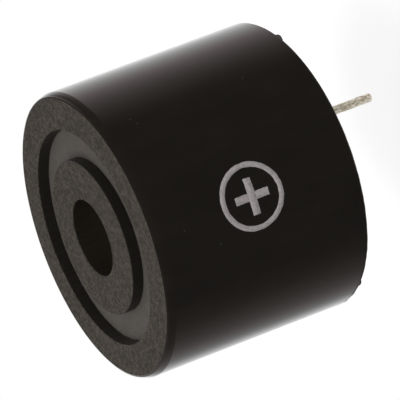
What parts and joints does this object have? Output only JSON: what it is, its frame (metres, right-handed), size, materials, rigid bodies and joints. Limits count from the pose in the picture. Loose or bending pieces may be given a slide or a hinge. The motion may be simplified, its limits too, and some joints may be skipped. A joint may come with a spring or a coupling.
{
  "type": "piezo buzzer",
  "caption": "Black cylindrical self-driven piezo buzzer for a circuit board, with a sound port in a ringed face and wire terminals at the open rear.",
  "frame": {"origin": "middle of the seating plane, on the body's axis, where the tips of the rear stand-offs touch the circuit board", "axes": "+Z along the body's axis towards the sound port; the terminals lie on the X axis and point to -Z, the positive one at +X"},
  "size_m": [0.024, 0.024, 0.0235],
  "materials": {
    "housing_plastic": "semi-gloss black moulding, with a fine spark-eroded grain on the rim and boss",
    "resin": "cast black epoxy, satin",
    "tinned_wire": "hot-tinned, slightly mottled",
    "brass_plate": "rolled, satin",
    "piezo_ceramic": "fired, matt",
    "fired_silver": "matt silver paste",
    "silicone": "soft, translucent white",
    "board": "brown phenolic laminate",
    "solder": "bright, smooth",
    "epoxy_body": "matt black moulding",
    "resistor_coat": "tan lacquer",
    "diode_glass": "amber glass",
    "capacitor_coat": "dipped ochre lacquer",
    "ferrite": "matt grey-black ferrite",
    "copper_wire": "enamelled copper",
    "wire_black": "PVC insulation",
    "wire_red": "PVC insulation",
    "wire_blue": "PVC insulation"
  },
  "bodies": {
    "root": {"housing": "housing_plastic", "diaphragm_plate": "brass_plate", "piezo_ceramic": "piezo_ceramic", "drive_electrode": "fired_silver", "feedback_electrode": "fired_silver", "silicone_bead": "silicone", "circuit_board": "board", "terminal_pin_positive": "tinned_wire", "terminal_pin_negative": "tinned_wire", "pin_solder_joints": "solder", "transistor_body": "epoxy_body", "transistor_legs": "tinned_wire", "load_resistor": "resistor_coat", "load_resistor_leads": "tinned_wire", "base_resistor": "resistor_coat", "base_resistor_leads": "tinned_wire", "feedback_resistor": "resistor_coat", "feedback_resistor_leads": "tinned_wire", "diode_body": "diode_glass", "diode_leads": "tinned_wire", "capacitor_body": "capacitor_coat", "capacitor_leads": "tinned_wire", "inductor_core": "ferrite", "inductor_winding": "copper_wire", "inductor_pins": "tinned_wire", "component_solder_joints": "solder", "plate_wire": "wire_black", "drive_wire": "wire_red", "feedback_wire": "wire_blue", "wire_solder_joints": "solder", "diaphragm_solder_dots": "solder", "potting_resin": "resin"}
  },
  "joints": []
}
